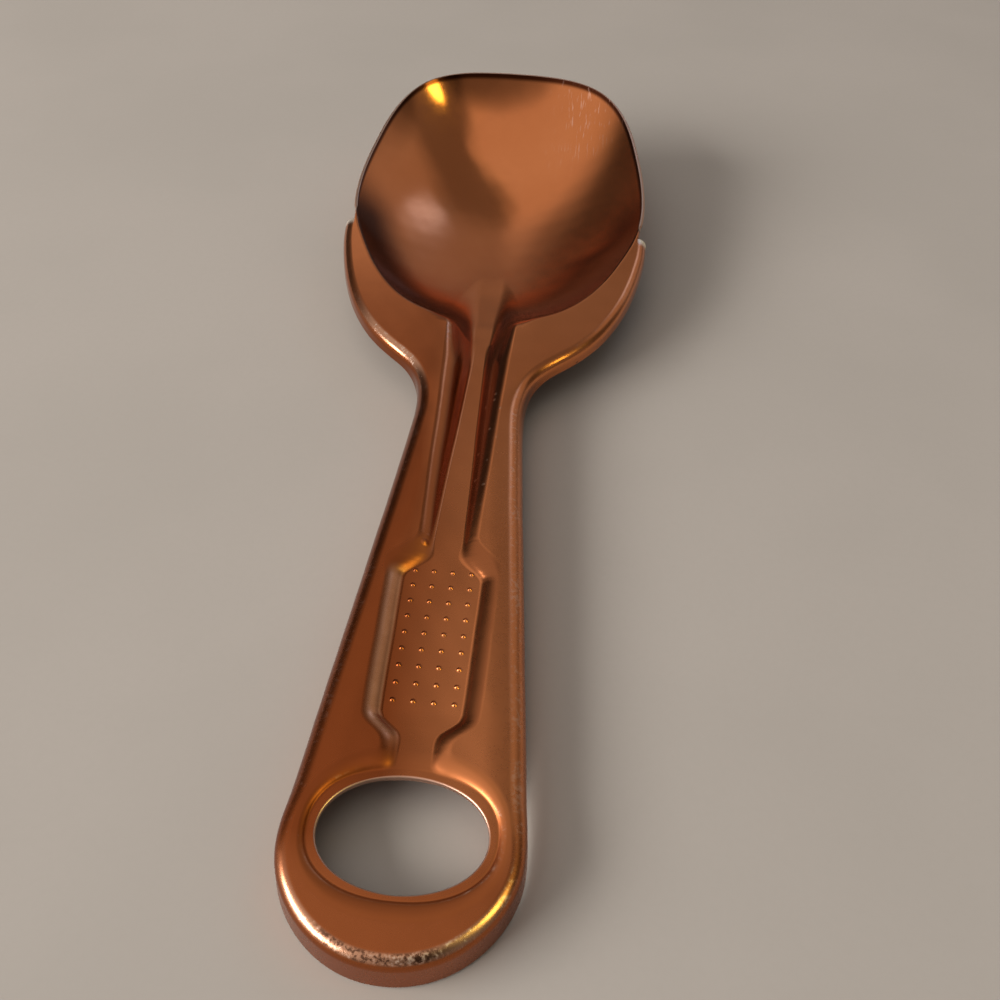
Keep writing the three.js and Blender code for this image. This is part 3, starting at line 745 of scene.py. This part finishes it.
def copper(name):
    m, nt = tree(name)
    k = N(nt)
    obj = k.node("ShaderNodeTexCoord").outputs["Object"]
    sep = k.node("ShaderNodeSeparateXYZ")
    k.put(sep.inputs[0], obj)
    X, Y = sep.outputs["X"], sep.outputs["Y"]
    bare_and_glint, bend, shade_band = k.attr("bare_and_glint"), k.attr("bend"), k.attr("painted_shade_band")

    def times(a, *rest):
        for b in rest:
            a = k.math("MULTIPLY", a, b)
        return a

    # colour: broad tone drift, faint mottling, and painted shade that darkens the handle towards its end, more on its
    # left side, and on the left of the neck
    drift = k.noise(obj, 32, 2, .5)
    mott = k.noise(obj, 420, 4, .6)
    base = k.mix(k.ramp(drift, .35, .65), (.600, .200, .072, 1), (.645, .226, .086, 1))
    base = k.mix(k.ramp(mott, .35, .75, 0, .10), base, (.52, .16, .055, 1))
    shade_left_and_end = k.ramp(X, -.0095, .0075, 2.0, 0.0)
    shade_left_and_end = k.math("ADD", shade_left_and_end, times(k.math("SUBTRACT", 1.0, shade_left_and_end), k.ramp(Y, -.074, -.088)))
    painted_handle_shade = k.math("MULTIPLY", k.ramp(Y, -.100, .045, .74, 0), shade_left_and_end)
    neck_left_shade = times(k.ramp(X, -.002, -.008), k.ramp(Y, -.045, -.020), k.ramp(Y, .042, .018), .55)
    painted_handle_shade = k.math("ADD", painted_handle_shade, neck_left_shade, clamp=True)
    # painted shade: the handle's colour pulled towards dark brown
    base = k.mix(painted_handle_shade, base, (.275, .068, .019, 1))
    # painted shade: near-black colour on the bowl's back wall, the inside of its rim and the right walls of panel and
    # groove
    base = k.mix(k.math("MULTIPLY", shade_band, .94), base, (.05, .009, .004, 1))
    # painted highlight: paler colour on the panel's left wall
    base = k.mix(times(k.attr("painted_light_wall"), k.ramp(mott, .2, .8, .60, .42)), base, (.84, .43, .23, 1))
    # worn outward bends: fine broken scuffs, most at the handle end, the left shoulder and the right side
    wear_n = k.noise(obj, 1500, 7, .72)
    wear_b = k.noise(obj, 130, 3, .6)
    end = k.ramp(Y, -.083, -.093)
    shoulder = times(k.ramp(X, -.003, -.010), k.ramp(Y, -.004, .006), k.ramp(Y, .024, .013))
    side = times(k.ramp(X, .004, .008), k.ramp(Y, .0, -.010), .2)
    zone = k.math("ADD", k.math("MAXIMUM", k.math("MAXIMUM", end, shoulder), side), .12, clamp=True)
    grit = k.ramp(k.math("ADD", wear_n, k.math("MULTIPLY", wear_b, .55)), .80, .92)
    wear = times(k.ramp(bend, .35, .9), grit, zone)
    # paler bends at the handle end and the left shoulder: partly worn metal, partly painted highlight that widens the
    # glints there
    base = k.mix(times(k.ramp(bend, .3, .9), k.math("MAXIMUM", end, shoulder), .5), base, (.80, .50, .34, 1))
    base = k.mix(k.math("MULTIPLY", wear, .75), base, (.82, .64, .54, 1))
    scuff = times(k.ramp(bend, .3, .8), end, k.ramp(X, -.0095, -.006), k.ramp(X, .008, .004), k.ramp(wear_n, .54, .45))
    base = k.mix(k.math("MULTIPLY", scuff, .85), base, (.09, .035, .018, 1))
    base = k.mix(k.math("MULTIPLY", bare_and_glint, .7), base, (.74, .52, .42, 1))
    # painted glint: near-white colour at the horn tips
    tips = times(bare_and_glint, k.ramp(Y, .0405, .0425), k.ramp(Y, .0485, .0465), k.ramp(k.math("ABSOLUTE", X), .0275, .0283))
    base = k.mix(tips, base, (.95, .86, .76, 1))
    # a few specks and pits, and a cluster of light specks on the channel's right wall
    vor = k.node("ShaderNodeTexVoronoi", feature="F1")
    k.put(vor.inputs["Vector"], obj)
    vor.inputs["Scale"].default_value = 170
    sel = k.node("ShaderNodeSeparateColor")
    k.put(sel.inputs["Color"], vor.outputs["Color"])
    dot = times(k.ramp(vor.outputs["Distance"], .03, .06, 1, 0), k.ramp(sel.outputs["Red"], .90, .905, smooth=False))
    dark = times(dot, k.ramp(sel.outputs["Green"], .49, .5, smooth=False))
    light = k.math("SUBTRACT", dot, dark)
    vor2 = k.node("ShaderNodeTexVoronoi", feature="F1")
    k.put(vor2.inputs["Vector"], obj)
    vor2.inputs["Scale"].default_value = 720
    sel2 = k.node("ShaderNodeSeparateColor")
    k.put(sel2.inputs["Color"], vor2.outputs["Color"])
    wall = times(k.ramp(X, .0016, .0024), k.ramp(X, .0056, .0048), k.ramp(Y, -.030, -.018), k.ramp(Y, .008, -.002))
    specks = times(k.ramp(vor2.outputs["Distance"], .12, .26, 1, 0), k.ramp(sel2.outputs["Red"], .78, .79, smooth=False), wall)
    base = k.mix(k.math("MULTIPLY", dark, .8), base, (.09, .03, .015, 1))
    base = k.mix(k.math("MULTIPLY", k.math("MAXIMUM", light, specks), .7), base, (.85, .55, .4, 1))
    # rubbed scratches inside the bowl's front right corner
    fine = k.noise(obj, 2600, 3, .6)
    hair = k.noise(k.place(obj, rot=(0, 0, .22), scale=(2400, 110, 400)), 1.0, 3, .55)
    hair2 = k.noise(k.place(obj, rot=(0, 0, -.35), scale=(2000, 140, 400)), 1.0, 3, .55)
    corner = times(k.ramp(X, .006, .012), k.ramp(Y, .074, .087), k.ramp(Y, .0965, .093))
    rub = times(corner, k.math("MAXIMUM", k.ramp(hair, .60, .70), k.ramp(hair2, .62, .72)))
    base = k.mix(k.math("MULTIPLY", rub, .40), base, (.80, .50, .40, 1))
    # roughness: satin on the handle, smoother in the bowl
    rough = k.ramp(Y, -.060, .030, .27, .19)
    rough = k.math("SUBTRACT", rough, k.ramp(Y, .050, .085, 0, .055))
    rough = k.math("ADD", rough, k.ramp(drift, .3, .7, -.015, .015))
    rough = k.math("ADD", rough, k.ramp(mott, .3, .7, -.01, .02))
    rough = k.math("ADD", rough, k.ramp(fine, .3, .7, -.01, .015))
    rough = k.math("ADD", rough, k.math("MULTIPLY", k.attr("dull"), .16))
    rough = k.math("ADD", rough, k.math("MULTIPLY", wear, .14))
    rough = k.math("ADD", rough, k.math("MULTIPLY", rub, .10))
    rough = k.math("ADD", rough, k.math("MULTIPLY", tips, .16))
    rough = k.math("ADD", rough, k.math("MULTIPLY", bare_and_glint, .12), clamp=True)
    # relief: very fine peel, hair scratches, pits, roughened bends
    lines = k.math("MAXIMUM", k.ramp(hair, .70, .76), k.ramp(hair2, .71, .77))
    h = k.math("MULTIPLY", fine, .0000006)
    h = k.math("ADD", h, k.math("MULTIPLY", mott, .0000022))
    h = k.math("SUBTRACT", h, k.math("MULTIPLY", lines, .0000006))
    h = k.math("SUBTRACT", h, k.math("MULTIPLY", dark, .00003))
    h = k.math("ADD", h, k.math("MULTIPLY", specks, .00002))
    h = k.math("ADD", h, times(wear_n, k.ramp(bend, .3, .9), k.math("ADD", end, .2), .000008))
    bump = k.node("ShaderNodeBump")
    bump.inputs["Strength"].default_value = 1.0
    bump.inputs["Distance"].default_value = 1.0
    k.put(bump.inputs["Height"], h)
    p = k.node("ShaderNodeBsdfPrincipled")
    p.inputs["Metallic"].default_value = 1.0
    k.put(p.inputs["Base Color"], base)
    k.put(p.inputs["Roughness"], rough)
    k.put(p.inputs["Normal"], bump.outputs["Normal"])
    out = k.node("ShaderNodeOutputMaterial")
    nt.links.new(p.outputs[0], out.inputs[0])
    return m


finish_material = copper("copper_anodised")
PIECES = ((bowl_piece, "bowl"), (handle_plate, "handle_plate"), (edge_skirt, "edge_skirt"),
          (stem_channel, "stem_channel"), (name_panel, "name_panel"), (hole_collar, "hole_collar"))
for ob, node in PIECES:
    ob.data.materials.append(finish_material)
    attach(ob, "root")
    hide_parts(node)

# ---------------------------------------------------------------- floor
fm, fnt = tree("floor")
k = N(fnt)
fo = k.node("ShaderNodeTexCoord").outputs["Object"]
soft = k.noise(fo, 14, 4, .5)
grain = k.noise(fo, 900, 3, .6)
fc = k.mix(k.ramp(soft, .35, .65), (.458, .424, .388, 1), (.481, .444, .407, 1))
fc = k.mix(k.ramp(grain, .35, .75, 0, .12), fc, (.426, .392, .357, 1))
fp = k.node("ShaderNodeBsdfPrincipled")
k.put(fp.inputs["Base Color"], fc)
fp.inputs["Roughness"].default_value = .75
fp.inputs["Specular IOR Level"].default_value = .15
fnt.links.new(fp.outputs[0], k.node("ShaderNodeOutputMaterial").inputs[0])
fmesh = bpy.data.meshes.new("floor")
fmesh.from_pydata([(-3, -3, -.0002), (3, -3, -.0002), (3, 3, -.0002), (-3, 3, -.0002)], [], [(0, 1, 2, 3)])
floor = bpy.data.objects.new("floor", fmesh)
bpy.context.scene.collection.objects.link(floor)
floor.data.materials.append(fm)

# ---------------------------------------------------------------- light


def area(name, at, aim, size, power, color=(1, 1, 1), size_y=None, shape="RECTANGLE"):
    d = bpy.data.lights.new(name, "AREA")
    d.shape, d.size, d.energy, d.color = shape, size, power, color
    d.size_y = size_y or size
    o = bpy.data.objects.new(name, d)
    o.location = at
    o.rotation_euler = (Vector(aim) - Vector(at)).to_track_quat("-Z", "Y").to_euler()
    bpy.context.scene.collection.objects.link(o)
    return o


def toward(az, el):              # azimuth 0 = +y, 90 = +x
    a, e = math.radians(az), math.radians(el)
    return Vector((math.sin(a) * math.cos(e), math.cos(a) * math.cos(e), math.sin(e)))


def card(name, az, el, dist, size, size_y, radiance, color, shape="RECTANGLE"):
    lit = size * size_y * (math.pi / 4 if shape == "ELLIPSE" else 1)
    return area(name, toward(az, el) * dist, (0, 0, 0), size, radiance * math.pi * lit, color, size_y, shape)


card("window", -115, 23.5, 1.5, 1.15, .50, 15.5, (1, .96, .91))
lamp = card("lamp", 103, 46, 1.0, .25, .54, 8.5, (1, .96, .22), "ELLIPSE")
lamp.visible_diffuse = False                      # shows as a glint in the metal, and leaves the floor untinted
# soft room: bright ceiling on the left and overhead, darker right, dark low on the far left
world = bpy.data.worlds.new("studio")
bpy.context.scene.world = world
world.use_nodes = True
wt = world.node_tree
wt.nodes.clear()
k = N(wt)
ray = k.node("ShaderNodeTexCoord").outputs["Generated"]


def along(v):
    n = k.node("ShaderNodeVectorMath", operation="DOT_PRODUCT")
    k.put(n.inputs[0], ray)
    n.inputs[1].default_value = v
    return n.outputs["Value"]


def lobe(az, el, r_in, r_out, to_in, to_out):
    return k.ramp(along(toward(az, el)), math.cos(math.radians(r_out)), math.cos(math.radians(r_in)), to_out, to_in)


ROOM, CEILING = .20, .54
edge_at = k.ramp(along((0, 1, 0)), .08, .60, .235, -.10)
left = k.ramp(k.math("SUBTRACT", along((1, 0, 0)), edge_at), -.07, .07, 1.0, 0.0)
high = k.ramp(along((0, 0, 1)), .30, .80, .45, 1.0)
lum = k.math("ADD", k.math("MULTIPLY", k.math("MULTIPLY", left, high), CEILING), ROOM)
lum = k.math("ADD", lum, lobe(42, 30, 9, 24, .24, 0.0))
lum = k.math("ADD", lum, lobe(6, 28, 6, 22, .14, 0.0))
lum = k.math("MULTIPLY", lum, lobe(-35, 8, 15, 43, .14, 1.0))
lum = k.math("MULTIPLY", lum, lobe(163, 42, 12, 30, .25, 1.0))
lum = k.math("MULTIPLY", lum, lobe(72, 22, 8, 22, .45, 1.0))
bg = k.node("ShaderNodeBackground")
bg.inputs["Color"].default_value = (1, .91, .83, 1)
k.put(bg.inputs["Strength"], lum)
spot = k.node("ShaderNodeBackground")             # small pale panel at the far right
spot.inputs["Color"].default_value = (.30, .52, 1, 1)
k.put(spot.inputs["Strength"], lobe(24, 34, 1.5, 9, 1.5, 0.0))
both = k.node("ShaderNodeAddShader")
wt.links.new(bg.outputs[0], both.inputs[0])
wt.links.new(spot.outputs[0], both.inputs[1])
wt.links.new(both.outputs[0], k.node("ShaderNodeOutputWorld").inputs[0])

# ---------------------------------------------------------------- camera
C = np.array([12.73032799, -42.96470712, 118.56])
FWD = np.array([-.03550964, .69030468, -.72264688])
PHI, ROLL = math.radians(2.94), math.radians(2.57)
FWD = FWD / np.linalg.norm(FWD)
PHI = math.atan2(-FWD[0], FWD[1])
r0 = np.array([math.cos(PHI), math.sin(PHI), 0.0])
u0 = np.cross(r0, FWD)
RIGHT = math.cos(ROLL) * r0 + math.sin(ROLL) * u0
UP = -math.sin(ROLL) * r0 + math.cos(ROLL) * u0
pos, right, up, fwd = to_part(C), turn(RIGHT), turn(UP), turn(FWD)
cam_data = bpy.data.cameras.new("camera")
cam_data.sensor_fit = "HORIZONTAL"
cam_data.sensor_width = 36.0
cam_data.lens = 36.0 * 1083 / 1000
cam_data.clip_start = .01
cam = bpy.data.objects.new("camera", cam_data)
cam.matrix_world = Matrix((
    (right[0], up[0], -fwd[0], pos[0]), (right[1], up[1], -fwd[1], pos[1]),
    (right[2], up[2], -fwd[2], pos[2]), (0, 0, 0, 1)))
bpy.context.scene.collection.objects.link(cam)
bpy.context.scene.camera = cam

bpy.context.scene.view_settings.view_transform = "Standard"
